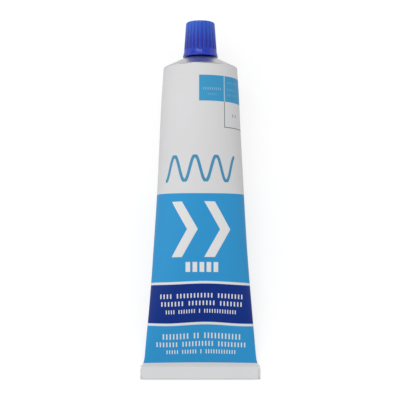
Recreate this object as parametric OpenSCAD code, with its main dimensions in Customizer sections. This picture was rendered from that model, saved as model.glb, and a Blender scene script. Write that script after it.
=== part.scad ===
// Squeeze tube of sealant with a ribbed screw cap, lying on its back with the cap towards +Y

/* [Sleeve] */
// Radius of the round end of the sleeve, at the shoulder
sleeve_r = 17.5; // [14:0.5:22]
// Length of the sleeve along the neck axis, from the shoulder to the fold
sleeve_len = 140; // [100:1:180]
// Thickness of the aluminium sheet
metal_t = 0.13; // [0.1:0.01:0.2]

/* [Fold] */
// Height of the folded end
fold_h = 6; // [4:0.5:9]
// Air left between the folded layers
fold_gap = 0.08; // [0.05:0.01:0.15]
// How far each end of the fold is pressed out past the flat width of the sleeve
fold_spread = 0.55; // [0.1:0.05:1]
// How far the turned-up panel stops short of the root of the fold
fold_margin = 0.8; // [0.4:0.1:1.5]

/* [Shoulder] */
// Slope of the shoulder cone, above the plane across the neck axis
shoulder_deg = 26; // [18:1:35]
// Radius of the rounded rim between sleeve and shoulder
rim_round = 0.5; // [0.3:0.1:1.5]
// Height of the straight ring under the rounded rim
rim_land = 0.1; // [0.05:0.05:0.5]

/* [Neck] */
// Outside radius of the neck, over its thread
neck_r = 5.5; // [4.75:0.05:6]
// Length of the neck above the shoulder
neck_len = 8.2; // [6:0.1:10]
// Bevel on the lip of the neck
lip_bevel = 0.3; // [0.1:0.05:0.5]
// Radius of the mouth, closed by a membrane of the same metal
mouth_r = 3.8; // [3:0.1:4]
// Depth from the lip down to the membrane
mouth_depth = 0.9; // [0.4:0.1:2]

/* [Cap] */
// Height of the cap
cap_h = 16.7; // [15.5:0.1:22]
// Radius of the cap at its closed end
cap_top_r = 6.85; // [6.7:0.05:7.3]
// Radius of the cap where the ribs end and the skirt begins
cap_waist_r = 7.75; // [7.5:0.05:8]
// Radius of the flared rim
cap_rim_r = 8.3; // [8.1:0.05:9]
// Height of the smooth skirt below the ribs
skirt_h = 3.1; // [2:0.1:6]
// Height of the upright band round the rim
rim_band_h = 0.5; // [0.2:0.05:0.8]
// Rounding of the cap's top edge
cap_edge_r = 0.85; // [0.3:0.05:1]
// Thickness of the cap's closed end
cap_end_t = 1.3; // [0.8:0.1:2]
// Gap between the rim of the cap and the shoulder
rim_gap = 0.9; // [0.4:0.1:1.6]
// Width of the flat underside of the rim, where the gap to the shoulder allows it
rim_wall = 1.4; // [0.4:0.1:1.6]
// Clearance between the neck and the bore of the cap
fit_gap = 0.15; // [0.05:0.05:0.3]
// Width of the ledge inside the cap that closes on the lip of the neck
seat_w = 1; // [0.8:0.1:1.4]

/* [Ribs] */
// Number of ribs round the cap
rib_count = 24; // [16:1:26]
// Radius of the round-bottomed flute between two ribs
flute_r = 0.85; // [0.6:0.05:1]
// Depth of a flute at the closed end of the cap
flute_top_depth = 0.14; // [0.05:0.01:0.3]
// Depth of a flute at its lower end
flute_low_depth = 0.42; // [0.2:0.02:0.6]

/* [Hidden] */

// How the sleeve widens from round to flat: evenly at first, and a little more close to the fold
widen_linear = 0.395;
widen_late = 0.117;
widen_power = 5;
// The ends of the flat fold flare out over the last few millimetres only
flare_power = 120;
// How the filled sleeve thins towards the fold, and how suddenly it closes there
thin_linear = 0.42;
thin_cube = 0.28;
close_power = 8;

// The section turns from an ellipse into a flat strip: the power of the sine at the fold, and how late it gets there
flat_power = 0.35;
flatten_power = 6;

// Points round the sleeve, stations along it, and how closely they crowd towards the fold
around = 72;
stations = 26;
crowding = 1.7;
// How far one solid runs into its neighbour where the two are one piece, and how far it stays inside it
root = 0.2;
inset = 0.02;
round_fn = 96;
flute_fn = 32;

// The flattened sleeve is two sheets thick, and three such layers make the fold
pair_t = 2 * metal_t;
fold_t = 3 * pair_t + 2 * fold_gap;
fold_w = PI * sleeve_r + 2 * fold_spread;
fold_bend_r = fold_t / 2;
fold_root_z = fold_t - pair_t / 2;

// The neck axis runs from the root of the fold up to the shoulder, whose rim touches the ground
pitch = acos(fold_root_z / norm([sleeve_r, sleeve_len])) - atan2(sleeve_len, sleeve_r);
back_len = sleeve_len * cos(pitch) + sleeve_r * sin(pitch);

// Heights along the neck axis, from the round end of the sleeve
cone_corner_z = rim_land + rim_round * tan(45 - shoulder_deg / 2);
function cone_z(r) = cone_corner_z + (sleeve_r - r) * tan(shoulder_deg);
neck_top_z = cone_z(neck_r) + neck_len;
cap_rim_z = cone_z(cap_rim_r) + rim_gap;
cap_top_z = cap_rim_z + cap_h;
seat_z = neck_top_z - cap_rim_z;

// The origin is under the middle of the whole length
cap_reach = (cap_top_z - cap_edge_r) * cos(pitch) + (cap_top_r - cap_edge_r) * sin(pitch) + cap_edge_r;
total_len = fold_h + sleeve_len * cos(pitch) + cap_reach;
fold_y = fold_h - total_len / 2;
shoulder_y = fold_y + sleeve_len * cos(pitch);
shoulder_z = sleeve_r * cos(pitch);

// Half width, half depth and lean of the sleeve's section at station t
function half_width(t) = let (s = min(t, 1), plain = 1 + widen_linear * s + widen_late * pow(s, widen_power))
    t <= 0 ? sleeve_r - inset
    : sleeve_r * plain + (fold_w / 2 - inset - sleeve_r * (1 + widen_linear + widen_late)) * pow(s, flare_power);
function half_depth(t) = let (s = min(t, 1))
    t <= 0 ? sleeve_r - inset
    : pair_t / 2 - inset
        + (sleeve_r - pair_t / 2) * (1 - thin_linear * s - thin_cube * pow(s, 3)) * (1 - pow(s, close_power));
function roundness(t) = 1 - (1 - flat_power) * pow(min(max(t, 0), 1), flatten_power);
function lean(t) = pitch * (1 - min(max(t, 0), 1));

// A point of the section: the back of the sleeve runs straight from the shoulder's rim to the fold
function sleeve_point(t, a) = let (
        up = half_depth(t),
        back_y = fold_y + back_len * (1 - t),
        back_z = (fold_t - pair_t) * min(max(t, 0), 1) + inset,
        height = up * (1 + sign(sin(a)) * pow(abs(sin(a)), roundness(t)))
    )
    [half_width(t) * cos(a), back_y - height * sin(lean(t)), back_z + height * cos(lean(t))];

function station(i) = i == 0 ? -root / sleeve_len
    : i == stations + 1 ? 1 + root / sleeve_len
    : 1 - pow(1 - i / stations, crowding);

// Everything that turns about the neck is drawn upright and laid down here
module on_neck_axis() {
    translate([0, shoulder_y, shoulder_z])
        rotate([pitch - 90, 0, 0])
            children();
}

// The filled sleeve, from the round shoulder to the flat fold
module sleeve() {
    last = stations + 1;
    points = [
        for (i = [0:last])
            for (k = [0:around - 1])
                sleeve_point(station(i), 360 * k / around)
    ];
    sides = [
        for (i = [0:last - 1])
            for (k = [0:around - 1])
                let (here = i * around + k, beside = i * around + (k + 1) % around)
                    each [
                        [here, here + around, beside],
                        [beside, here + around, beside + around]
                    ]
    ];
    round_end = [for (k = [0:around - 1]) k];
    flat_end = [for (k = [around - 1:-1:0]) last * around + k];
    polyhedron(points, concat([round_end], sides, [flat_end]));
}

// The shoulder cone, the neck and the shallow mouth over its membrane
module shoulder_and_neck() {
    rim_x = sleeve_r - rim_round;
    rotate_extrude($fn = round_fn) {
        polygon([
            [0, 0],
            [sleeve_r, 0],
            [sleeve_r, rim_land],
            [rim_x + rim_round * sin(shoulder_deg), rim_land + rim_round * cos(shoulder_deg)],
            [neck_r, cone_z(neck_r)],
            [neck_r, neck_top_z - lip_bevel],
            [neck_r - lip_bevel, neck_top_z],
            [mouth_r, neck_top_z],
            [mouth_r, neck_top_z - mouth_depth],
            [0, neck_top_z - mouth_depth]
        ]);
        intersection() {
            translate([rim_x, rim_land])
                circle(rim_round, $fn = round_fn);
            translate([rim_x, 0])
                square([rim_round, rim_land + rim_round]);
        }
    }
}

// Half of a ring of sheet, open towards +X
module half_bend(outer_r) {
    difference() {
        circle(outer_r, $fn = round_fn);
        circle(outer_r - pair_t, $fn = round_fn);
        translate([0, -outer_r])
            square([outer_r, 2 * outer_r]);
    }
}

// Section of the fold: down the front, up the back, then down again between the two
module fold_section() {
    low_x = fold_bend_r - fold_h;
    top_bend_r = pair_t + fold_gap / 2;
    high_x = -fold_margin - top_bend_r;
    translate([low_x, fold_t - pair_t])
        square([root - low_x, pair_t]);
    translate([low_x, 0])
        square([high_x - low_x, pair_t]);
    translate([low_x, pair_t + fold_gap])
        square([high_x - low_x, pair_t]);
    translate([low_x, fold_bend_r])
        half_bend(fold_bend_r);
    translate([high_x, top_bend_r])
        mirror([1, 0])
            half_bend(top_bend_r);
}

module fold() {
    translate([0, fold_y, 0])
        rotate([90, 0, 90])
            linear_extrude(fold_w, center = true)
                fold_section();
}

// Sleeve, shoulder, neck and fold are one piece of aluminium, sealed and full
module tube() {
    color([0.84, 0.85, 0.86]) {
        sleeve();
        on_neck_axis()
            shoulder_and_neck();
        fold();
    }
}

// One flute, cut by a round tool that leans out towards the rim and ends in a ball
module flute() {
    low_x = cap_waist_r - flute_low_depth + flute_r;
    top_x = cap_top_r - flute_top_depth + flute_r;
    low_z = skirt_h + flute_r;
    run = cap_h - low_z;
    tilt = atan2(low_x - top_x, run);
    translate([low_x, 0, low_z]) {
        sphere(flute_r, $fn = flute_fn);
        rotate([0, -tilt, 0])
            cylinder(h = run * 1.2, r = flute_r, $fn = flute_fn);
    }
}

// The outside of the cap before its flutes are cut
module cap_blank() {
    rotate_extrude($fn = round_fn) {
        polygon([
            [0, 0],
            [cap_rim_r, 0],
            [cap_rim_r, rim_band_h],
            [cap_waist_r, skirt_h],
            [cap_top_r, cap_h - cap_edge_r],
            [cap_top_r - cap_edge_r, cap_h],
            [0, cap_h]
        ]);
        intersection() {
            translate([cap_top_r - cap_edge_r, cap_h - cap_edge_r])
                circle(cap_edge_r, $fn = round_fn);
            translate([cap_top_r - cap_edge_r, cap_h - cap_edge_r])
                square(cap_edge_r);
        }
    }
}

// The bore that takes the neck, opened below to clear the shoulder cone, and the narrower hollow above its seat
module cap_hollow() {
    bore_r = neck_r + fit_gap;
    flat_w = min(rim_wall, (rim_gap - fit_gap) / tan(shoulder_deg));
    mouth_low_r = cap_rim_r - flat_w;
    translate([0, 0, -root])
        cylinder(h = seat_z + root, r = bore_r, $fn = round_fn);
    translate([0, 0, -root])
        cylinder(
            h = (mouth_low_r - bore_r) * tan(shoulder_deg) + 2 * root,
            r1 = mouth_low_r + root / tan(shoulder_deg),
            r2 = bore_r - root / tan(shoulder_deg),
            $fn = round_fn
        );
    translate([0, 0, seat_z - root])
        cylinder(h = cap_h - cap_end_t - seat_z + root, r = neck_r - seat_w, $fn = round_fn);
}

// Ribbed screw cap, seated on the lip of the neck
module cap() {
    color([0.19, 0.27, 0.68])
        on_neck_axis()
            translate([0, 0, cap_rim_z])
                difference() {
                    cap_blank();
                    cap_hollow();
                    for (i = [0:rib_count - 1])
                        rotate([0, 0, 90 + 360 * (i + 0.5) / rib_count])
                            flute();
                }
}

tube();
cap();
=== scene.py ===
# %% [markdown]
# A full squeeze tube of sealant
#
# The object is a soft aluminium tube, filled, folded shut at one end and closed by a ribbed
# screw cap at the other. It lies on its back. This notebook dresses its construction model:
# it makes the skin of the tube and the moulded cap as surfaces worked out with numpy, prints
# the tube with fields of colour, and sets up a plain studio. The construction model comes
# first, because every size and place below has to agree with it.

# %% Load the construction model
import bpy
import numpy as np
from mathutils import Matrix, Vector


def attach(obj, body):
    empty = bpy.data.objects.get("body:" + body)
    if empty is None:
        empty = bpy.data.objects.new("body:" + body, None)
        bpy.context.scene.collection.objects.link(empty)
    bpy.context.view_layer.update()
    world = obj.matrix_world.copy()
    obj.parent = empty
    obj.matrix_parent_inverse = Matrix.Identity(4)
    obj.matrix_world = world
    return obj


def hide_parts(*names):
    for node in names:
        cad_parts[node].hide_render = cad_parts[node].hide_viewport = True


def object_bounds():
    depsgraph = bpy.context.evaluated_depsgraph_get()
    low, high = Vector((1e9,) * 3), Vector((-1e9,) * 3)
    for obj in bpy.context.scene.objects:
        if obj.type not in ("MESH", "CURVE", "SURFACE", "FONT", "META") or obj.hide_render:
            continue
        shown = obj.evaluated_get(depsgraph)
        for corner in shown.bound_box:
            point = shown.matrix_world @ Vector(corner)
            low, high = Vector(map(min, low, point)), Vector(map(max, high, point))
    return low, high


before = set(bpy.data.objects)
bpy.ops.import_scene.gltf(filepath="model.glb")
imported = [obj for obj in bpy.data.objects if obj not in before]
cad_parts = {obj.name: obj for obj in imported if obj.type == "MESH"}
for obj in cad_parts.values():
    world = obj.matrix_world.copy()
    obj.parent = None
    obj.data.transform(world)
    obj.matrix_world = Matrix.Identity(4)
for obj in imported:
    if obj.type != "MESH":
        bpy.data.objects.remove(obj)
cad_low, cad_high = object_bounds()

print("box of the construction model", tuple(cad_low), tuple(cad_high))

# %% [markdown]
# The driving sizes of the tube
#
# A tube maker starts from the diameter of the round sleeve, because tooling fixes it. The
# width of the flat fold then follows by itself: a round sleeve pressed flat is half its
# girth wide. All lengths here are in metres, and the names are the ones a maker would use.

# %% Sizes of the tube
MM = 0.001
sleeve_r = 17.5 * MM
sleeve_len = 140 * MM
metal_t = 0.13 * MM
fold_h = 6 * MM
fold_gap = 0.08 * MM
fold_spread = 0.55 * MM
fold_margin = 0.8 * MM
shoulder_slope = np.radians(26)
rim_round = 0.5 * MM
rim_land = 0.1 * MM
neck_r = 5.5 * MM
neck_core_r = 4.95 * MM
neck_len = 8.2 * MM
lip_bevel = 0.3 * MM
mouth_r = 3.8 * MM
mouth_depth = 0.9 * MM
thread_pitch = 2 * MM

pair_t = 2 * metal_t
fold_t = 3 * pair_t + 2 * fold_gap
fold_w = np.pi * sleeve_r + 2 * fold_spread
print(f"fold {fold_w / MM:.2f} mm wide, {fold_t / MM:.2f} mm thick")

# %% [markdown]
# The driving sizes of the cap
#
# A cap is designed from the neck outwards: its bore is the neck plus a clearance, and its
# wall is what is left to the outside radii. Those are given at the closed end, at the waist
# where the ribs stop, and at the rim. The flutes between the ribs get deeper downwards, so
# that the fingers hold where the turning force is needed.

# %% Sizes of the cap
cap_h = 16.7 * MM
cap_top_r = 6.85 * MM
cap_waist_r = 7.75 * MM
cap_rim_r = 8.3 * MM
skirt_h = 3.1 * MM
rim_band_h = 0.5 * MM
cap_edge_r = 0.85 * MM
cap_end_t = 1.3 * MM
rim_gap = 0.9 * MM
rim_wall = 1.4 * MM
fit_gap = 0.15 * MM
seat_w = 1 * MM
rib_count = 24
flute_r = 0.85 * MM
flute_top_depth = 0.14 * MM
flute_low_depth = 0.42 * MM
print(f"cap {cap_h / MM:.1f} mm high, with a rib every {360 / rib_count:.0f} degrees")

# %% [markdown]
# Where things lie
#
# The neck points away from the fold and slightly up, because the round end is thick and the
# fold is flat. One angle, the pitch, follows from the sleeve's length and radius. Heights
# along the neck axis are counted from the round end of the sleeve, and one function turns
# a radius into the height of the shoulder cone there.

# %% Work out the places
root_z = fold_t - pair_t / 2
pitch = np.arccos(root_z / np.hypot(sleeve_r, sleeve_len)) - np.arctan2(sleeve_len, sleeve_r)
back_len = sleeve_len * np.cos(pitch) + sleeve_r * np.sin(pitch)
cone_corner = rim_land + rim_round * np.tan(np.pi / 4 - shoulder_slope / 2)


def cone_height(radius):
    """Height of the shoulder cone at a radius: its corner plus the way in times the slope."""
    return cone_corner + (sleeve_r - radius) * np.tan(shoulder_slope)


neck_top = cone_height(neck_r) + neck_len
cap_rim = cone_height(cap_rim_r) + rim_gap
cap_top = cap_rim + cap_h
seat = neck_top - cap_rim
cap_reach = (
    (cap_top - cap_edge_r) * np.cos(pitch)
    + (cap_top_r - cap_edge_r) * np.sin(pitch)
    + cap_edge_r
)
fold_y = fold_h - (fold_h + sleeve_len * np.cos(pitch) + cap_reach) / 2
neck_axis = np.array([np.cos(pitch), np.sin(pitch)])
neck_up = np.array([-np.sin(pitch), np.cos(pitch)])
shoulder = np.array([fold_y + sleeve_len * np.cos(pitch), sleeve_r * np.cos(pitch)])
print(f"pitch {np.degrees(pitch):.2f} degrees, round end at y, z = {shoulder / MM} mm")
print("length agrees with the frame to", round((cad_low[1] - fold_y + fold_h) / MM, 4), "mm")

# %% [markdown]
# From a grid of points to a mesh
#
# Both pieces are closed skins swept from one end to the other, so they can share one
# builder. It takes a grid of points, rows along the piece and columns round it, closes the
# grid round and puts a single point at each end. Writing whole index arrays is much faster
# than adding faces one by one.

# %% A builder for closed skins


def add_object(name, data):
    """A new object in the scene, made of a mesh, a lamp or a lens."""
    made = bpy.data.objects.new(name, data)
    bpy.context.scene.collection.objects.link(made)
    return made


def grid_corners(rows, columns, wide):
    """Corners of each face of a grid whose list has wide points to a row: a point, its
    neighbour, and the two below them. Where wide equals columns, the last face of a row meets
    the first point again."""
    row, column = np.meshgrid(np.arange(rows - 1), np.arange(columns), indexing="ij")
    start = row * wide
    beside = (column + 1) % wide
    corners = [start + column, start + beside, start + wide + beside, start + wide + column]
    return np.stack(corners, -1).reshape(-1, 4)


def closed_skin(name, points, ends, crease=32):
    """A mesh from points[row, column, xyz]: four neighbours make a face, the last column meets
    the first, and each end row fans in to its own end point. Edges sharper than crease, in
    degrees, stay sharp."""
    rows, columns = points.shape[:2]
    around = np.arange(columns)
    ahead = (around + 1) % columns
    last = (rows - 1) * columns
    first_fan = np.stack([np.full(columns, rows * columns), ahead, around], -1)
    last_fan = np.stack([np.full(columns, rows * columns + 1), last + around, last + ahead], -1)
    quads = grid_corners(rows, columns, columns)
    mesh = bpy.data.meshes.new(name)
    mesh.from_pydata(
        np.concatenate([points.reshape(-1, 3), ends]).tolist(),
        [],
        quads.tolist() + first_fan.tolist() + last_fan.tolist(),
    )
    mesh.shade_smooth()
    mesh.set_sharp_from_angle(angle=np.radians(crease))
    mesh.validate()
    print(name, "has", len(mesh.vertices), "points and", len(mesh.polygons), "faces")
    return add_object(name, mesh)


# %% [markdown]
# Straight runs, arcs and soft steps
#
# A turned or moulded form is drawn as half its outline, like a profile for a lathe: straight
# runs joined by arcs. Two helpers give the points of each, and a third gives a step that
# starts and ends softly, for whatever has to fade in.

# %% Helpers for outlines


def stretch(start, stop, count):
    """Points on the straight line from start to stop, evenly spaced, without the last one."""
    share = np.linspace(0, 1, count, endpoint=False)[:, None]
    return np.array(start) + (np.array(stop) - np.array(start)) * share


def arc(centre, radius, start, stop, count, endpoint=False):
    """Points on a circle from one angle to another: the centre plus the radius times the
    angle's sine, along, and its cosine, out."""
    angles = np.linspace(start, stop, count, endpoint=endpoint)
    return np.array(centre) + radius * np.stack([np.sin(angles), np.cos(angles)], -1)


def smooth(x):
    """0 below 0, 1 above 1, and in between three x squared less two x cubed."""
    x = np.clip(x, 0, 1)
    return x * x * (3 - 2 * x)


print("a quarter of the way along, a soft step is at", float(smooth(0.25)))

# %% [markdown]
# The thread
#
# Neck and cap meet in a coarse rounded thread. A thread is a ridge whose place along the
# axis moves on by one pitch for each turn, so its height depends only on the difference of
# the two. The cap's ridge runs in the neck's groove: it is the same wave, half a pitch on.
# Carrying a small profile along a screw line would do too, but it leaves a seam at each end.

# %% A helical ridge


def thread_ridge(height, angle, low, high, shift=0.0):
    """How far the thread stands out, from 0 to 1, at a height and an angle: a cosine of height
    over pitch plus turns, cut flat at its top and bottom, and faded out near low and high."""
    phase = height / thread_pitch + angle / (2 * np.pi) + shift
    wave = np.clip(0.5 + 0.95 * np.cos(2 * np.pi * phase), 0, 1)
    run_out = 0.35 * thread_pitch
    return wave * smooth((height - low) / run_out) * smooth((high - height) / run_out)


print("the neck carries", round(neck_len / thread_pitch, 1), "turns at most")

# %% [markdown]
# The skin of the tube
#
# The tube is one piece of metal: an impact-extruded can with a thick shoulder and neck and
# a sleeve as thin as card. It could be made from separate parts, but a single skin keeps the
# metal in one piece, so the light runs over the rim and into the fold without a seam. The
# skin is a ring carried along a path: up from the membrane in the mouth, out over the lip,
# down the thread and the shoulder cone, along the sleeve while the ring flattens, and then
# down, up and down again through the folded end.

# %% Rows of the neck and shoulder
columns = 208
angle = np.radians(-90) + np.linspace(0, 2 * np.pi, columns, endpoint=False)

membrane = neck_top - mouth_depth
core_root = cone_height(neck_core_r)
rim_arc = arc((rim_land, sleeve_r - rim_round), rim_round, np.pi / 2 - shoulder_slope, 0, 10)
neck_profile = np.concatenate(
    [
        stretch((membrane, 0.3 * MM), (membrane, mouth_r), 8),
        stretch((membrane, mouth_r), (neck_top, mouth_r), 5),
        stretch((neck_top, mouth_r), (neck_top, neck_core_r - lip_bevel), 4),
        stretch((neck_top, neck_core_r - lip_bevel), (neck_top - lip_bevel, neck_core_r), 3),
        stretch((neck_top - lip_bevel, neck_core_r), (core_root, neck_core_r), 64),
        stretch((core_root, neck_core_r), rim_arc[0], 26),
        rim_arc,
        stretch((rim_land, sleeve_r), (0, sleeve_r), 2),
    ]
)
neck_height, neck_radius = neck_profile.T
print(len(neck_profile), "rows from the membrane to the sleeve")

# %% [markdown]
# How the sleeve flattens
#
# Between the round end and the fold, the section goes from a circle to a flat strip. Three
# laws say how, each as a function of t, which is 0 at the rim and 1 at the fold: the width
# grows almost evenly, the depth falls faster and faster, and the section's curve turns from
# an ellipse into a fuller form. They were read from the outline in the photograph and from
# what a full tube looks like from the side. The rows crowd towards the fold, where the form
# changes fastest.

# %% Rows of the sleeve
widen_linear = 0.395
widen_late = 0.117
widen_power = 5
flare_power = 120
thin_linear = 0.42
thin_cube = 0.28
close_power = 8
flat_power = 0.35
flatten_power = 6
sleeve_rows = 150
crowding = 1.5


def half_width(t):
    """The first radius times 1 plus a share of t and a late share of t to the fifth power, and
    a flare in the last few millimetres that brings it to half the fold's width."""
    plain = sleeve_r * (1 + widen_linear * t + widen_late * t**widen_power)
    flare = fold_w / 2 - sleeve_r * (1 + widen_linear + widen_late)
    return plain + flare * t**flare_power


def half_depth(t):
    """The first radius times 1 less a share of t and a share of t cubed, closed down to the
    double sheet by 1 less t to the eighth power."""
    filled = (1 - thin_linear * t - thin_cube * t**3) * (1 - t**close_power)
    return pair_t / 2 + (sleeve_r - pair_t / 2) * filled


def roundness(t):
    """Power of the sine in the section: 1 is an ellipse, and less is a flatter, fuller strip."""
    return 1 - (1 - flat_power) * t**flatten_power


station = 1 - (1 - np.linspace(0, 1, sleeve_rows)) ** crowding
lean = pitch * (1 - station)
sleeve_up = np.stack([-np.sin(lean), np.cos(lean)], -1)
back_line = np.stack([fold_y + back_len * (1 - station), (fold_t - pair_t) * station], -1)
sleeve_mid = back_line + sleeve_up * half_depth(station)[:, None]
print(f"half way along, the sleeve is {2 * half_width(0.5) / MM:.1f} mm wide and",
      f"{2 * half_depth(0.5) / MM:.1f} mm deep")

# %% [markdown]
# The folded end
#
# A filled tube is closed by pressing its end flat and folding the pressed pair of sheets
# twice. Seen from the side, the path of the pair goes down, round a wide bend, up, round a
# tight bend and down again, with a hair of air between the layers. The front corners of
# such a fold sit slightly inside the back ones, and one smooth setback gives that.

# %% Rows of the folded end
low_y = fold_t / 2 - fold_h
high_y = -fold_margin - pair_t - fold_gap / 2
front_z, mid_z, back_z = fold_t - pair_t / 2, fold_t / 2, pair_t / 2
wide_bend_r = pair_t + fold_gap
tight_bend_r = wide_bend_r / 2
fold_path = np.concatenate(
    [
        stretch((0, front_z), (low_y, front_z), 10)[1:],
        arc((low_y, mid_z), wide_bend_r, 0, -np.pi, 15, endpoint=True),
        stretch((low_y, back_z), (high_y, back_z), 10)[1:],
        arc((high_y, back_z + tight_bend_r), tight_bend_r, np.pi, 0, 15, endpoint=True),
        stretch((high_y, mid_z), (low_y, mid_z), 6)[1:],
    ]
) + (fold_y, 0)
step = np.gradient(fold_path, axis=0)
step /= np.linalg.norm(step, axis=1)[:, None]
fold_up = np.stack([step[:, 1], -step[:, 0]], -1)

front_setback = 0.9 * MM
in_front = smooth((fold_path[:, 1] - mid_z) / (0.3 * fold_t))
below_crease = smooth((fold_y - fold_path[:, 0]) / MM)
fold_half_w = fold_w / 2 - front_setback * in_front * below_crease
print(len(fold_path), "rows through the fold")

# %% [markdown]
# Small unevenness
#
# No squeeze tube is a perfect form. The metal is as soft as foil, so filling and handling
# leave long shallow waves in it, a tenth or two of a millimetre deep, which show as slow
# changes in the gloss. They are a sum of a few broad waves, added to each row's half width
# and half depth, and they fade out towards the stiff shoulder and the pressed fold.

# %% Shallow dents
waves = np.random.default_rng(11)
dent_depths = np.array([0.10, 0.08, 0.07, 0.05, 0.04, 0.03]) * MM
stiff_at_rim, stiff_at_fold = 0.12, 0.1


def dents(t, around):
    """Depth of the shallow waves: products of a cosine round and a cosine along, one for each
    of the depths, faded at both ends of the sleeve."""
    depth = np.zeros(np.broadcast(t, around).shape)
    for size in dent_depths:
        turns, bumps = waves.integers(2, 6), waves.integers(2, 7)
        first, second = waves.uniform(0, 2 * np.pi, 2)
        depth += size * np.cos(turns * around + first) * np.cos(np.pi * bumps * t + second)
    return depth * smooth(t / stiff_at_rim) * smooth((1 - t) / stiff_at_fold)


sleeve_dents = dents(station[:, None], angle[None, :])
off_the_back = smooth((np.sin(angle) + 1) / 0.5)
print("deepest dent", round(float(np.abs(sleeve_dents).max()) / MM, 2), "mm")

# %% [markdown]
# Sweep the skin
#
# Each row has a middle, a direction for up, a half width and a half depth, and its points
# follow from the cosine and the sine of the angle. The rows of neck, sleeve and fold are
# joined into one grid. The back of the sleeve gets no dents, because its weight presses it
# flat on the ground.

# %% Join the rows


def per_column(rows):
    """The same value in every column of each row."""
    return np.broadcast_to(np.asarray(rows)[:, None], (len(rows), columns))


thread_low, thread_top = core_root + 0.3 * MM, neck_top - 0.6 * MM
ridge = (neck_r - neck_core_r) * thread_ridge(
    neck_height[:, None], angle[None, :], thread_low, thread_top
)
on_core = np.isclose(neck_radius, neck_core_r)[:, None]
neck_ring = neck_radius[:, None] + ridge * on_core
neck_mid = shoulder + neck_height[:, None] * neck_axis
on_sleeve = slice(len(neck_height), len(neck_height) + sleeve_rows)

across = np.concatenate([neck_ring, per_column(half_width(station)), per_column(fold_half_w)])
thick = np.concatenate(
    [neck_ring, per_column(half_depth(station)), np.full((len(fold_path), columns), pair_t / 2)]
)
power = np.concatenate(
    [np.ones(len(neck_height)), roundness(station), np.full(len(fold_path), flat_power)]
)[:, None]
mid = np.concatenate([neck_mid, sleeve_mid, fold_path])
up = np.concatenate([np.broadcast_to(neck_up, neck_mid.shape), sleeve_up, fold_up])
uneven = np.zeros(across.shape)
uneven[on_sleeve] = sleeve_dents * off_the_back

skin_x = (across + uneven) * np.cos(angle)
skin_h = (thick + uneven) * np.sign(np.sin(angle)) * np.abs(np.sin(angle)) ** power
tube_points = np.stack(
    [skin_x, mid[:, :1] + up[:, :1] * skin_h, mid[:, 1:] + up[:, 1:] * skin_h], -1
)
print("skin grid", tube_points.shape)

# %% [markdown]
# A flat map for the print
#
# A tube is printed while it is still a round can, so the artwork is a flat sheet: one way
# is the distance round the girth, the other the distance from the round end. The map below
# gives every point of the skin those two distances in millimetres. The way round is the
# measured arc length, so the print keeps its proportions where the sleeve has flattened.

# %% Measure the flat map
ring = np.concatenate([tube_points, tube_points[:, :1]], axis=1)
girth = np.cumsum(np.linalg.norm(np.diff(ring, axis=1), axis=2), axis=1)
girth = np.concatenate([np.zeros((len(girth), 1)), girth], axis=1)
front = columns // 2
print_u = (girth - girth[:, front : front + 1]) / girth[:, -1:] * (2 * np.pi * sleeve_r)

along = np.concatenate([[0], np.cumsum(np.linalg.norm(np.diff(mid, axis=0), axis=1))])
print_v = along + sleeve_len - along[on_sleeve.stop - 1]
print_v[on_sleeve] = station * sleeve_len
neck_steps = np.linalg.norm(np.diff(neck_profile, axis=0, append=[[0, sleeve_r]]), axis=1)
print_v[: len(neck_height)] = -np.cumsum(neck_steps[::-1])[::-1]
flat_map = np.stack([-print_u, np.broadcast_to(print_v[:, None], print_u.shape)], -1) / MM
print(f"map runs from {flat_map[..., 1].min():.1f} to {flat_map[..., 1].max():.1f} mm along")

# %% [markdown]
# The tube as one piece
#
# Only the two end points are missing: the middle of the membrane and the inner end of the
# fold. With them the skin is closed, like the sealed tube itself. It could stay open where
# nobody looks, but a closed mesh has a clear inside, so it can be measured or printed too.
# The flat map goes on the corners of the faces, not on the points, because the points where
# the skin closes have two places on it, one at each edge of the flat sheet.

# %% Make the tube


def add_flat_map(mesh, flat_map):
    """Give each face corner its place from flat_map[row, column, uv], which has one column
    more than the skin, so that the map doesn't run backwards where the skin closes."""
    rows, wide = flat_map.shape[:2]
    around = np.arange(wide - 1)
    quads = grid_corners(rows, wide - 1, wide)
    first_fan = np.stack([around, around + 1, around], -1)
    last_fan = (rows - 1) * wide + np.stack([around, around, around + 1], -1)
    order = np.concatenate([quads.ravel(), first_fan.ravel(), last_fan.ravel()])
    layer = mesh.uv_layers.new(name="Print")
    layer.uv.foreach_set("vector", flat_map.reshape(-1, 2)[order].astype(np.float32).ravel())


tube_ends = np.array([[0, *(shoulder + membrane * neck_axis)], [0, *fold_path[-1]]])
tube_skin = closed_skin("tube_skin", tube_points, tube_ends)
add_flat_map(tube_skin.data, flat_map)
print("flat map on", len(tube_skin.data.loops), "corners")

# %% [markdown]
# The skin of the cap
#
# The cap is moulded plastic: a tapered core with ribs for the fingers, a flared skirt and an
# open underside with the thread inside. Its outline is drawn first, as a plain turned form.
# The rows start at the middle of the top, where a small pit is left by the moulding, and run
# down the side to the rim. They lie closer where the flutes will end in a round.

# %% Outside of the cap
gate_r = 1.1 * MM
gate_floor_r = 0.9 * MM
gate_floor = cap_h - 0.18 * MM
flute_foot = skirt_h + 2 * flute_r
foot_r = np.interp(flute_foot, [skirt_h, cap_h - cap_edge_r], [cap_waist_r, cap_top_r])
skirt_flare = 1.5

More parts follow.
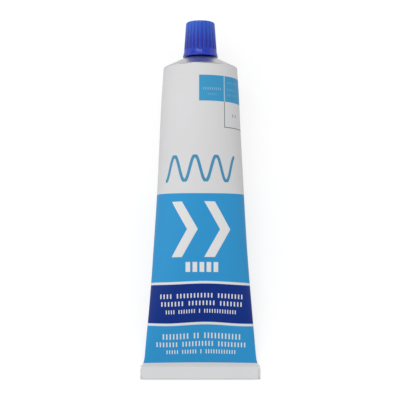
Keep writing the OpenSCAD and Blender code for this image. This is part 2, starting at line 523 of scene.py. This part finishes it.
drop = np.linspace(0, 1, 18, endpoint=False)
skirt_z = skirt_h + (rim_band_h - skirt_h) * drop
skirt_r = cap_waist_r + (cap_rim_r - cap_waist_r) * drop**skirt_flare
outer_profile = np.concatenate(
    [
        stretch((gate_floor, 0.2 * MM), (gate_floor, gate_floor_r), 3),
        stretch((gate_floor, gate_floor_r), (cap_h, gate_r), 4),
        stretch((cap_h, gate_r), (cap_h, cap_top_r - cap_edge_r), 12),
        arc((cap_h - cap_edge_r, cap_top_r - cap_edge_r), cap_edge_r, np.pi / 2, 0, 9),
        stretch((cap_h - cap_edge_r, cap_top_r), (flute_foot, foot_r), 24),
        stretch((flute_foot, foot_r), (skirt_h, cap_waist_r), 16),
        np.stack([skirt_z, skirt_r], -1),
    ]
)
print(len(outer_profile), "rows from the middle of the top to the rim")

# %% [markdown]
# The inside of the cap
#
# From the rim the wall turns in: over a small round, a flat edge and a cone that clears the
# shoulder, up the bore to the seat on the neck's lip, and up the narrower hollow above it. A
# single sheet with a Solidify modifier would be quicker, but its wall would be the same all
# over, and here the bore, the seat and the closed end each need a wall of their own.

# %% Inside of the cap
bore_r = neck_r + fit_gap
hollow_r = neck_r - seat_w
hollow_top = cap_h - cap_end_t
flat_w = min(rim_wall, (rim_gap - fit_gap) / np.tan(shoulder_slope))
relief_h = (cap_rim_r - flat_w - bore_r) * np.tan(shoulder_slope)
bead_r = 0.14 * MM

inner_profile = np.concatenate(
    [
        stretch((rim_band_h, cap_rim_r), (bead_r, cap_rim_r), 3),
        arc((bead_r, cap_rim_r - bead_r), bead_r, 0, -np.pi / 2, 5),
        stretch((0, cap_rim_r - bead_r), (0, cap_rim_r - flat_w), 4),
        stretch((0, cap_rim_r - flat_w), (relief_h, bore_r), 6),
        stretch((relief_h, bore_r), (seat, bore_r), 60),
        stretch((seat, bore_r), (seat, hollow_r), 5),
        stretch((seat, hollow_r), (hollow_top, hollow_r), 10),
        stretch((hollow_top, hollow_r), (hollow_top, 0.3 * MM), 8),
    ]
)
cap_z, cap_r = np.concatenate([outer_profile, inner_profile]).T
outside = np.arange(len(cap_z)) < len(outer_profile)
print(f"{len(cap_z)} rows over the cap, with a seat {seat / MM:.2f} mm above the rim")

# %% [markdown]
# Ribs from flutes
#
# The ribs are what is left between flutes, and a flute is the trace of a ball-ended cutter.
# A boolean cut would need 24 cutters and would leave slivers of faces. Here the depth has a
# formula, how near a ray from the axis comes to the cutter's line, so the grid of points only
# moves in. The corner of each rib is rounded a little, as on any moulding.

# %% Cut the flutes
cap_columns = 384
cap_angle = np.linspace(0, 2 * np.pi, cap_columns, endpoint=False)
low_line_r = cap_waist_r - flute_low_depth + flute_r
top_line_r = cap_top_r - flute_top_depth + flute_r
low_line_z = skirt_h + flute_r
rib_step = 2 * np.pi / rib_count
rib_corner = 0.10 * MM


def flute_surface(height, turn):
    """Radius at which a ray from the axis meets the cutter: the cutter's distance times the
    cosine of the angle between, less what Pythagoras leaves of its radius. Below the line's
    end the radius is that of the ball, cut by the plane at this height."""
    share = np.clip((height - low_line_z) / (cap_h - low_line_z), 0, None)
    line_r = low_line_r + (top_line_r - low_line_r) * share
    below = np.clip(low_line_z - height, 0, flute_r)
    cut_r = np.sqrt(np.clip(flute_r**2 - below**2, 0, None))
    met = cut_r**2 - (line_r * np.sin(turn)) ** 2
    surface_r = line_r * np.cos(turn) - np.sqrt(np.clip(met, 0, None))
    return np.where(met > 0, surface_r, np.inf)


def blend_low(first, second, width):
    """The lower of two surfaces with a rounded corner: the lower less near squared times a
    quarter of the width, where near is 1 when they meet and 0 when they lie a width apart."""
    near = np.clip(1 - np.abs(first - second) / width, 0, 1)
    return np.minimum(first, second) - near**2 * width / 4


turn_to_flute = ((cap_angle / rib_step) % 1 - 0.5) * rib_step
plain_ring = np.broadcast_to(cap_r[:, None], (len(cap_r), cap_columns))
cutter = flute_surface(cap_z[:, None], turn_to_flute[None, :])
ribbed = blend_low(plain_ring, np.minimum(cutter, plain_ring + MM), rib_corner)
can_cut = outside & (cap_z > skirt_h - rib_corner) & (cap_r > cap_top_r - cap_edge_r)
cap_ring = np.where(can_cut[:, None], ribbed, plain_ring)
print(f"deepest flute {(plain_ring - cap_ring).max() / MM:.3f} mm")

# %% [markdown]
# The thread inside the cap
#
# The same ridge as on the neck, half a pitch on, now stands inwards from the bore. Nobody
# sees it until the cap comes off, but then an empty bore would look wrong at once. It fades
# out before it reaches the seat and the open end, as a moulded thread does.

# %% Add the inner thread
inner_ridge = 0.5 * MM
inner_low = cap_rim + relief_h + 0.2 * MM
inner_top = cap_rim + seat - 0.5 * MM
inner_thread = inner_ridge * thread_ridge(
    cap_z[:, None] + cap_rim, cap_angle[None, :], inner_low, inner_top, shift=0.5
)
in_bore = np.isclose(cap_r, bore_r) & ~outside
cap_ring = cap_ring - inner_thread * in_bore[:, None]
print("inner thread on", int(in_bore.sum()), "rows")

# %% [markdown]
# The cap as one piece
#
# The rings are set round the neck's axis, each at its height, and the skin is closed at the
# pit and at the ceiling of the hollow. How deep each point lies in its flute is kept on the
# mesh as an attribute. A material can read that later, where a texture would need a map.

# %% Make the cap
cap_mid = shoulder + (cap_rim + cap_z[:, None]) * neck_axis
cap_out = cap_ring * np.sin(cap_angle)
cap_points = np.stack(
    [
        cap_ring * np.cos(cap_angle),
        cap_mid[:, :1] + neck_up[0] * cap_out,
        cap_mid[:, 1:] + neck_up[1] * cap_out,
    ],
    -1,
)
cap_ends = np.array([[0, *cap_mid[0]], [0, *cap_mid[-1]]])
cap_skin = closed_skin("cap_skin", cap_points, cap_ends, crease=40)

flute_depth = np.interp(cap_z, [low_line_z, cap_h], [flute_low_depth, flute_top_depth])
groove = (plain_ring - cap_ring) / flute_depth[:, None] * can_cut[:, None]
groove = np.append(np.clip(groove, 0, 1), [0, 0]).astype(np.float32)
cap_skin.data.attributes.new("groove", "FLOAT", "POINT").data.foreach_set("value", groove)
print("groove depth kept on", int((groove > 0.05).sum()), "points")

# %% [markdown]
# Writing shader maths as sums
#
# A printed pattern is arithmetic on two distances, and arithmetic built node by node is hard
# to read. A term wraps one socket, so that a pattern can be written as an ordinary
# expression: adding, multiplying or comparing terms adds the Math nodes.

# %% Terms


class Term:
    """One socket in a sum: each operator adds a Math node and wraps its result."""

    def __init__(self, recipe, socket):
        self.recipe = recipe
        self.socket = socket

    def math(self, operation, *values):
        """The result of a Math node with these values."""
        return self.recipe.node("ShaderNodeMath", {"operation": operation}, values)

    def __add__(self, other):
        return self.math("ADD", self, other)

    def __sub__(self, other):
        return self.math("SUBTRACT", self, other)

    def __rsub__(self, other):
        return self.math("SUBTRACT", other, self)

    def __mul__(self, other):
        return self.math("MULTIPLY", self, other)

    def __truediv__(self, other):
        return self.math("DIVIDE", self, other)

    def __abs__(self):
        return self.math("ABSOLUTE", self)

    __radd__ = __add__
    __rmul__ = __mul__

    def low(self, other):
        """The lower of this term and another."""
        return self.math("MINIMUM", self, other)

    def high(self, other):
        """The higher of this term and another."""
        return self.math("MAXIMUM", self, other)

    def held(self):
        """The term held between 0 and 1."""
        return self.low(1.0).high(0.0)

    def fraction(self):
        """What the term has beyond its last whole number."""
        return self.math("FRACT", self)

    def sine(self):
        return self.math("SINE", self)

    def cosine(self):
        return self.math("COSINE", self)

    def root(self):
        return self.math("SQRT", self)

    def sibling(self, output):
        """Another output of the node that this term comes from."""
        return Term(self.recipe, self.socket.node.outputs[output])


print("a term also knows", [name for name in vars(Term) if name[0] != "_"])

# %% [markdown]
# Materials as recipes
#
# A material is a tree of nodes that ends in an output. The recipe makes every node by one
# method, which sets the node's options first, because they change its sockets, and then its
# inputs. Mixing, noise and bump are wanted often, so they get methods of their own.

# %% Recipes


class Recipe:
    """The node tree of a material or a world, whose nodes all come from one method."""

    def __init__(self, owner, output="ShaderNodeOutputMaterial"):
        owner.use_nodes = True
        self.owner = owner
        self.tree = owner.node_tree
        self.tree.nodes.clear()
        self.output = self.tree.nodes.new(output)

    def node(self, kind, settings=None, values=(), output=0):
        """Add a node: its settings first, then a value or a link for each named or numbered
        socket, and hand back the wanted output as a term."""
        made = self.tree.nodes.new(kind)
        for name, setting in (settings or {}).items():
            setattr(made, name, setting)
        pairs = values.items() if isinstance(values, dict) else enumerate(values)
        for key, value in pairs:
            if isinstance(value, Term):
                self.tree.links.new(value.socket, made.inputs[key])
            else:
                made.inputs[key].default_value = value
        return Term(self, made.outputs[output])

    def mix(self, share, first, second, blend="MIX"):
        """First colour where share is 0, second where it is 1, and a blend between."""
        settings = {"data_type": "RGBA", "blend_type": blend}
        return self.node("ShaderNodeMix", settings, {0: share, 6: first, 7: second}, output=2)

    def noise(self, place, scale, detail=3.0, roughness=0.5):
        """Soft random values between 0 and 1, with this many bumps in a unit of place."""
        wanted = {"Vector": place, "Scale": scale, "Detail": detail, "Roughness": roughness}
        return self.node("ShaderNodeTexNoise", None, wanted)

    def bump(self, height, distance, strength=1.0):
        """A normal tilted as if the surface rose by distance where height is 1."""
        wanted = {"Strength": strength, "Distance": distance, "Height": height}
        return self.node("ShaderNodeBump", None, wanted)

    def surface(self, shader):
        """Send a shader to the output."""
        self.tree.links.new(shader.socket, self.output.inputs["Surface"])

    def finish(self, **inputs):
        """End in one Principled shader, with this input for each of its sockets."""
        named = {name.replace("_", " "): value for name, value in inputs.items()}
        self.surface(self.node("ShaderNodeBsdfPrincipled", None, named))
        print(self.owner.name, "has", len(self.tree.nodes), "nodes")
        return self.owner


print("a recipe knows", [name for name in vars(Recipe) if name[0] != "_"])

# %% [markdown]
# Shapes in a print
#
# A shape in a print is a distance: below zero inside it, above zero outside. A rectangle is
# the larger of two distances, and a line is what lies within half a stroke of its middle.
# Turning the distance into ink is the same step for all of them, so every edge gets the
# same slight softness. An image would do it too, but it blurs close up and these don't.

# %% Distances and ink
ink_blur = 0.07


def ink(distance):
    """1 inside a shape and 0 outside, with the edge spread over the blur: a half less the
    distance over the blur, held between 0 and 1."""
    return (0.5 - distance / ink_blur).held()


def slab(place, low, high):
    """Distance from a strip between two values: how far from its middle, less half of it."""
    return abs(place - (low + high) / 2) - (high - low) / 2


def rectangle(u, v, left, right, top, bottom):
    """Distance from a rectangle: the larger of its two strips."""
    return slab(u, left, right).high(slab(v, top, bottom))


def either(first, *others):
    """Distance from any of several shapes: the smallest."""
    for other in others:
        first = first.low(other)
    return first


print("an edge of ink is", ink_blur, "mm soft")

# %% [markdown]
# The plan of the print
#
# The sleeve is roller-coated white and then printed in two blues. The design is made of
# fields of colour, chevrons, rows of small blocks and a wavy line, like a bead of sealant.
# All places are millimetres on the flat sheet. Flattening a filled tube pulls the lower bands
# into a shallow wave, so they read their place along the tube from a second, pulled
# distance, whose wave closes round the girth.

# %% Lay out the fields of colour


def print_place(recipe):
    """The two distances of the flat map: round from the front, and along from the rim."""
    flat = recipe.node("ShaderNodeUVMap", {"uv_map": "Print"})
    round_way = recipe.node("ShaderNodeSeparateXYZ", None, [flat])
    return round_way, round_way.sibling("Y")


enamel = Recipe(bpy.data.materials.new("printed_enamel"))
u, v = print_place(enamel)
can_r = sleeve_r / MM
pull_start, pull_rise = 78.0, 42.0
pull_end, pull_fall = 138.6, 9.0
pull_depth, pull_waves, pull_middle = 0.37, 3, 2.5
pull = ((v - pull_start) / pull_rise).low((pull_end - v) / pull_fall).held() * pull_depth
pulled_v = v - pull * (1 - ((u - pull_middle) * (pull_waves / can_r)).cosine())

field_top, field_low = 61.65, 138.2
top_bow, low_bow = 0.83, 0.3
bow = 1 - (u / can_r).cosine()
field = ink((field_top - bow * top_bow - v).high(v - bow * low_bow - field_low))

band_top, band_low, edge_w = 103.0, 120.2, 1.1
band = ink(slab(pulled_v, band_top, band_low))
band_edges = ink(
    either(
        slab(pulled_v, band_top - edge_w, band_top),
        slab(pulled_v, band_low, band_low + edge_w),
    )
)
print("the fields take", len(enamel.tree.nodes), "nodes")

# %% [markdown]
# A panel and a frame
#
# A blue panel and a thin frame below it run over the right side of the tube. On the flat
# sheet they are plain rectangles, and the flat map bends them round the metal, as it does
# on the real tube. A frame drawn straight in space would need its own curve for every side.

# %% Add the panel and the frame
panel_left, panel_right = -0.6, 31.0
panel_top, panel_low = 5.6, 18.0
divider_left, divider_right = 11.55, 12.2
frame_left, frame_low, line_w = 11.6, 30.4, 0.35
panel = ink(rectangle(u, v, panel_left, panel_right, panel_top, panel_low))
divider = ink(rectangle(u, v, divider_left, divider_right, panel_top, panel_low))
frame_line = ink(
    either(
        rectangle(u, v, frame_left, frame_left + line_w, panel_low, frame_low),
        rectangle(u, v, frame_left, panel_right, frame_low - line_w, frame_low),
        rectangle(u, v, panel_right - line_w, panel_right, panel_low, frame_low),
    )
)
print("the frame is", panel_right - frame_left, "mm wide")

# %% [markdown]
# Chevrons and a wavy line
#
# The large shapes are strokes: all points within half a stroke of a middle line. The exact
# distance from a wave has no short formula, but the distance along the tube, made smaller
# where the wave is steep, comes close enough for a thin line and needs one expression.

# %% Add the chevrons and the wavy line


def chevron(u, v, point, middle, slope, half_stroke):
    """Distance from two slanting strokes that meet in a point: the distance across them, over
    the square root of one plus the slope squared, less half the stroke."""
    across = abs(u - point + abs(v - middle) * slope)
    return across / np.sqrt(1 + slope**2) - half_stroke


def wave_shape(u, v, middle, swing, length, half_stroke):
    """Distance from a wavy line: the distance across it, over the square root of one plus its
    slope squared, less half the stroke. The line is a cosine, one wave to each length."""
    turn = u * (2 * np.pi / length)
    slope = turn.sine() * (2 * np.pi / length * swing)
    return abs(v - middle - turn.cosine() * swing) / (1 + slope * slope).root() - half_stroke


wave_end, wave_count = 17.4, 3.5
wave_length = 2 * wave_end / wave_count
wavy_line = wave_shape(
    u + wave_end, v, middle=49.9, swing=5.6, length=wave_length, half_stroke=0.72
)
wavy_line = ink(wavy_line.high(slab(u, -wave_end, wave_end)))

chevron_top, chevron_low = 65.4, 91.0
chevrons = either(
    *[chevron(u, v, point, middle=78.2, slope=0.58, half_stroke=2.15) for point in (-3.7, 11.7)]
)
chevrons = chevrons.high(slab(v, chevron_top, chevron_low))
print("one wave is", round(wave_length, 2), "mm long")

# %% [markdown]
# Rows of blocks
#
# Fine rows give a printed sleeve its scale, because from far they read as one pale tone. Each
# row is written as its left and right end, its top and bottom, and how many blocks each of
# its groups has. One comprehension turns a table of rows into one shape.

# %% Add the rows


def block_row(u, v, left, right, top, bottom, groups, share=0.19):
    """Distance from a row of small blocks: a strip, cut by the fraction of the place over the
    step, with one step left empty between each two groups. share is half a block's width, as
    part of a step."""
    step = (right - left) / (sum(groups) + len(groups) - 1)
    block = (abs(((u - left) / step).fraction() - 0.5) - share) * step
    row = rectangle(u, v, left, right, top, bottom).high(block)
    for group in range(1, len(groups)):
        empty = left + (sum(groups[:group]) + group - 0.5) * step
        row = row.high(0.5 * step - abs(u - empty))
    return row


label = block_row(u, v, -7.5, 8.9, 93.3, 97.8, [5], share=0.33)
band_rows = [
    (-19.8, 20.8, 107.3, 109.3, [4, 11, 8]),
    (-19.3, 20.4, 110.7, 112.7, [7, 8, 7]),
    (-16.9, 17.3, 114.4, 116.1, [4, 7, 1, 13]),
    (-18.6, 19.6, 124.95, 127.4, [8, 2, 11]),
    (-21.6, 22.1, 128.65, 130.85, [7, 10, 9]),
    (-16.7, 17.2, 132.35, 134.15, [5, 6, 1, 12]),
]
panel_rows = [
    (3.2, 7.8, 14.3, 15.2, [5]),
    (13.4, 22.0, 8.2, 9.2, [4, 5]),
    (13.4, 20.6, 11.5, 12.6, [7]),
    (13.4, 21.0, 13.9, 15.0, [3, 4]),
]
rows = either(*[block_row(u, pulled_v, *row) for row in band_rows])
faint_rows = ink(either(*[block_row(u, v, *row) for row in panel_rows]))
panel_title = ink(block_row(u, v, 1.0, 10.2, 11.5, 12.8, [9]))
frame_marks = ink(block_row(u, v, 16.0, 20.1, 23.6, 25.0, [2]))
white_print = ink(either(chevrons, label, rows))
print("with the rows, the recipe has", len(enamel.tree.nodes), "nodes")

# %% [markdown]
# Inks, one over the other
#
# A press lays one ink after the other on the white coating. A loop does the same with Mix
# nodes: each layer has a share, 1 where its ink lies, and a colour. The smallest rows get a
# share below 1, so that they stay fainter than the large shapes.

# %% Print the sleeve


def colour(red, green, blue):
    """A colour as the four numbers a socket takes."""
    return (red, green, blue, 1.0)


white_enamel = colour(0.80, 0.80, 0.81)
light_blue = colour(0.030, 0.345, 0.72)
dark_blue = colour(0.001, 0.031, 0.265)
white_ink = colour(0.88, 0.88, 0.885)
panel_blue = colour(0.050, 0.36, 0.66)
pale_ink = colour(0.42, 0.62, 0.76)
grey_ink = colour(0.12, 0.155, 0.19)
line_ink = colour(0.07, 0.315, 0.53)

print_colour = white_enamel
for share, ink_colour in [
    (field, light_blue),
    (band, dark_blue),
    (band_edges.high(white_print), white_ink),
    (panel, panel_blue),
    (divider.high(panel_title * 0.6).high(faint_rows * 0.35), pale_ink),
    (frame_line.high(frame_marks * 0.6), grey_ink),
    (wavy_line, line_ink),
]:
    print_colour = enamel.mix(share, print_colour, ink_colour)
print("printed in", len(enamel.tree.nodes), "nodes")

# %% [markdown]
# The finish of the enamel
#
# Printed metal has a thin hard gloss, slightly rippled like orange peel, with a little less
# gloss where there is ink. Along the sharp crease of the fold a fine grey line is painted,
# partly the coating cracked to the metal and partly painted shade of the fold's edge. Object
# coordinates are in metres, so the scale of a noise is the number of its bumps to the metre:
# 900 makes bumps of about a millimetre.

# %% Give the enamel its finish
place = enamel.node("ShaderNodeTexCoord", output="Object")
cloud = enamel.noise(place, 38.0)
crazed = ((enamel.noise(place, 1500.0) - 0.45) * 6).held()
speck = enamel.noise(place, 2600.0, 2.0)
peel = enamel.noise(place, 900.0, 2.0)

crease_top, crease_low = 145.7, 146.4
# A grey line along the crease: cracked coating and painted shade of the fold's edge.
crease_crack_and_shade = ink(slab(v, crease_top, crease_low)) * 0.55 * (0.4 + crazed * 0.6)
print_colour = enamel.mix(crease_crack_and_shade, print_colour, colour(0.36, 0.37, 0.38))
shade = 0.975 + cloud * 0.05
tone = enamel.node("ShaderNodeCombineColor", None, [shade, shade, shade])
inked = field.high(panel)
enamel_material = enamel.finish(
    Base_Color=enamel.mix(1.0, print_colour, tone, "MULTIPLY"),
    Roughness=0.36 + cloud * 0.07 + speck * 0.05 + inked * 0.03,
    Normal=enamel.bump(peel * 0.8 + speck * 0.2, 0.000012, 0.5),
    Specular_IOR_Level=0.22,
)

# %% [markdown]
# Bare aluminium
#
# The printing stops at the rim. The shoulder, neck and membrane are bare, pressed and then
# trimmed on a lathe, so they carry fine rings round the neck axis. The rings follow the map's
# long direction, which runs down the neck and out over the cone, so one noise stretched
# round the girth draws them.

# %% Bare metal
metal = Recipe(bpy.data.materials.new("bare_aluminium"))
metal_u, metal_v = print_place(metal)
ring_place = metal.node("ShaderNodeCombineXYZ", None, [metal_u * 0.02, metal_v, 0.0])
rings = metal.noise(ring_place, 5.5, 3.0, 0.65)
smear = metal.noise(metal.node("ShaderNodeTexCoord", output="Object"), 320.0)
metal_material = metal.finish(
    Base_Color=metal.mix(rings, colour(0.54, 0.542, 0.55), colour(0.66, 0.66, 0.665)),
    Metallic=1.0,
    Roughness=0.22 + rings * 0.10 + smear * 0.06,
    Normal=metal.bump(rings, 0.00001, 0.6),
)

# %% [markdown]
# Blue plastic
#
# The cap is polyethylene coloured through. Its mould was spark-eroded to a very fine matt,
# which fingers polish on the ribs. The grooves get painted shade: the base colour darkens
# with their depth. The closed end is thick and a little translucent, so the base colour is
# made lighter towards it, a painted glow that stands in for light scattered inside. The
# shader could scatter that light itself, but a blend along the cap costs less and bakes well.

# %% Moulded plastic
plastic = Recipe(bpy.data.materials.new("blue_plastic"))
plastic_place = plastic.node("ShaderNodeTexCoord", output="Object")
grain = plastic.noise(plastic_place, 5200.0, 2.0)
flow = plastic.noise(plastic_place, 170.0)
groove_depth = plastic.node("ShaderNodeAttribute", {"attribute_name": "groove"}, output="Fac")
along_cap = plastic.node("ShaderNodeSeparateXYZ", None, [plastic_place], output="Y")
skirt_y, end_y = (
    float(shoulder[0] + (cap_rim + share * cap_h) * neck_axis[0]) for share in (0.35, 0.95)
)
# Painted glow: the share of a lighter base colour, rising towards the closed end.
painted_end_light = ((along_cap - skirt_y) / (end_y - skirt_y)).held()

plastic_tone = plastic.mix(painted_end_light, colour(0.024, 0.056, 0.56), colour(0.032, 0.15, 0.76))
plastic_tone = plastic.mix(flow * 0.35, plastic_tone, colour(0.020, 0.050, 0.42))
# Painted shade in the grooves, deeper with the flute, weaker towards the closed end.
painted_groove_shade = groove_depth * (0.85 - painted_end_light * 0.35)
plastic_tone = plastic.mix(painted_groove_shade, plastic_tone, colour(0.002, 0.012, 0.27))
plastic_material = plastic.finish(
    Base_Color=plastic_tone,
    Roughness=0.16 + flow * 0.06 + grain * 0.05 + groove_depth * 0.10,
    Normal=plastic.bump(grain, 0.000005, 0.4),
    Specular_IOR_Level=0.35,
)

# %% [markdown]
# Which face gets which finish
#
# The tube is one mesh with two finishes. A mesh keeps a list of materials and a number for
# each face, so nothing has to be cut apart. The faces were made row by row, so all bare metal
# is one run of numbers at the start, and the fan over the membrane is another.

# %% Put the finishes on
tube_skin.data.materials.append(enamel_material)
tube_skin.data.materials.append(metal_material)
cap_skin.data.materials.append(plastic_material)
finish_index = np.zeros(len(tube_skin.data.polygons), dtype=np.int32)
finish_index[: (len(neck_height) - 1) * columns] = 1
fan_start = (len(tube_points) - 1) * columns
finish_index[fan_start : fan_start + columns] = 1
tube_skin.data.polygons.foreach_set("material_index", finish_index)
tube_skin.data.update()
print("bare metal on", int(finish_index.sum()), "faces")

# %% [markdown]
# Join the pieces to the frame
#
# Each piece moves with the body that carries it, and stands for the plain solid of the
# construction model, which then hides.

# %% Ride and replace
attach(tube_skin, "tube")
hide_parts("tube")
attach(cap_skin, "cap")
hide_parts("cap")
print("joined to the frame:", tube_skin.name, cap_skin.name)

# %% [markdown]
# The floor
#
# The tube lies on a pale floor that has to look pure white and still keep a shadow. Turning
# the lamps up until the floor clips would bleach the enamel too. So the floor gives a glow of
# its own, but only to rays from the camera, off a mirror or through glass. Other rays find a
# plain grey that bounces some light back. The glow is weaker near the object, so that its
# real shadow shows there, and in mirrors weaker still: a painted shadow round the object.

# %% A floor that glows for what looks at it
glow_near, glow_far, mirror_shadow_paint = 0.74, 1.0, 0.2
near_reach, glow_fade = 0.18, 0.4


def ray_kinds(recipe):
    """Three terms, each 1 for its kind of ray: from the camera, off a mirror, through glass."""
    seen = recipe.node("ShaderNodeLightPath", output="Is Camera Ray")
    return seen, seen.sibling("Is Glossy Ray"), seen.sibling("Is Transmission Ray")


pale = Recipe(bpy.data.materials.new("pale_floor"))
camera_ray, mirrored, through = ray_kinds(pale)
floor_place = pale.node("ShaderNodeTexCoord", output="Object")
from_middle = pale.node("ShaderNodeVectorMath", {"operation": "LENGTH"}, [floor_place], "Value")
far = ((from_middle - near_reach) / glow_fade).held()
# In mirrors the glow near the object drops further: a painted shadow round it.
glow_level = glow_near + far * (glow_far - glow_near) - mirrored * (1 - far) * mirror_shadow_paint
glow_inputs = {"Color": colour(1, 1, 1), "Strength": glow_level}
glow = pale.node("ShaderNodeEmission", None, glow_inputs)
shadow_part = pale.node("ShaderNodeBsdfDiffuse", None, {"Color": colour(0.34, 0.34, 0.34)})
looked_at = pale.node("ShaderNodeAddShader", None, [shadow_part, glow])
plain = pale.node("ShaderNodeBsdfDiffuse", None, {"Color": colour(0.5, 0.5, 0.5)})
looks = camera_ray.high(mirrored).high(through)
pale.surface(pale.node("ShaderNodeMixShader", None, [looks, plain, looked_at]))

reach = 1.6
floor_mesh = bpy.data.meshes.new("floor")
floor_mesh.from_pydata(
    [(-reach, -reach, 0), (reach, -reach, 0), (reach, reach, 0), (-reach, reach, 0)],
    [],
    [(0, 1, 2, 3)],
)
floor_mesh.materials.append(pale.owner)
floor = add_object("floor", floor_mesh)
print("floor", 2 * reach, "m wide")

# %% [markdown]
# The world
#
# Beyond the floor the camera sees white, and so do mirrors, but their ceiling is darker, as
# in a real room: a metal under an even white sky looks like plaster. Everything else gets an
# even light from the world at half that strength, which fills the shadows.

# %% Light the world
ambient = 0.52
ceiling_drop = 0.8
ceiling_start, ceiling_rise = 0.08, 0.4

bpy.context.scene.world = bpy.data.worlds.new("studio")
sky = Recipe(bpy.context.scene.world, "ShaderNodeOutputWorld")
camera_ray, mirrored, through = ray_kinds(sky)
direction = sky.node("ShaderNodeTexCoord", output="Generated")
towards = sky.node("ShaderNodeSeparateXYZ", None, [direction], output="Z")
ceiling = ((towards - ceiling_start) / ceiling_rise).held()
filled = ambient * (1 - camera_ray.high(mirrored).high(through))
sky_level = filled + camera_ray.high(through) + mirrored * (1 - ceiling * ceiling_drop)
sky_inputs = {"Color": colour(1, 1, 1), "Strength": sky_level}
sky.surface(sky.node("ShaderNodeBackground", None, sky_inputs))
print("world of", len(sky.tree.nodes), "nodes")

# %% [markdown]
# The lamps
#
# The light is plain and soft. A large softbox stands on the left, a weaker one on the right,
# and a third beyond the cap. A narrow strip, higher up, is there for its reflection alone,
# the small highlight on the cap's skirt. Large lamps give the slow shading that shows a soft
# tube's roundness, where a small one would leave hard spots on the gloss.

# %% Set up the softboxes


def softbox(name, place, width, height, watts, aim=(0, 0, 0)):
    """A rectangular lamp at a place in metres, turned to face the middle or another aim."""
    lamp = bpy.data.lights.new(name, "AREA")
    lamp.shape = "RECTANGLE"
    lamp.size = width
    lamp.size_y = height
    lamp.energy = watts
    holder = add_object(name, lamp)
    holder.location = place
    towards_aim = Vector(aim) - Vector(place)
    holder.rotation_euler = towards_aim.to_track_quat("-Z", "Y").to_euler()
    print(name, "gives", watts, "W")


softbox("left", (-1.0, 0.0, 0.85), 1.3, 1.8, 4.9)
softbox("right", (1.05, 0.0, 0.8), 1.3, 1.8, 2.0)
softbox("far_end", (0.0, 1.15, 0.8), 1.2, 0.8, 0.7)
softbox("strip", (-0.22, 0.57, 1.0), 0.8, 0.14, 2.4, aim=(-0.22, 0, 0))

# %% [markdown]
# Camera
#
# The photograph was taken from nearly overhead, a little towards the folded end, so that
# the front of the shoulder and the fold's edge both show. A long lens keeps the sides of the
# tube almost straight. The place follows from one elevation and one distance.

# %% Set the camera
elevation = np.radians(79)
distance = 0.6
look_at = np.array([-0.00018, 0.00129, 0])
back = np.array([0, -np.cos(elevation), np.sin(elevation)])
lens = bpy.data.cameras.new("camera")
lens.lens = 112.6
lens.sensor_width = 36
camera = add_object("camera", lens)
camera.location = look_at + distance * back
camera.rotation_euler = Vector(-back).to_track_quat("-Z", "Y").to_euler()
bpy.context.scene.camera = camera
bpy.context.scene.view_settings.view_transform = "Standard"
print("camera at", camera.location[:])

# %% [markdown]
# The size of the dressed part
#
# The dressed part should fill the same box as the construction model, to a few hundredths of
# a millimetre.
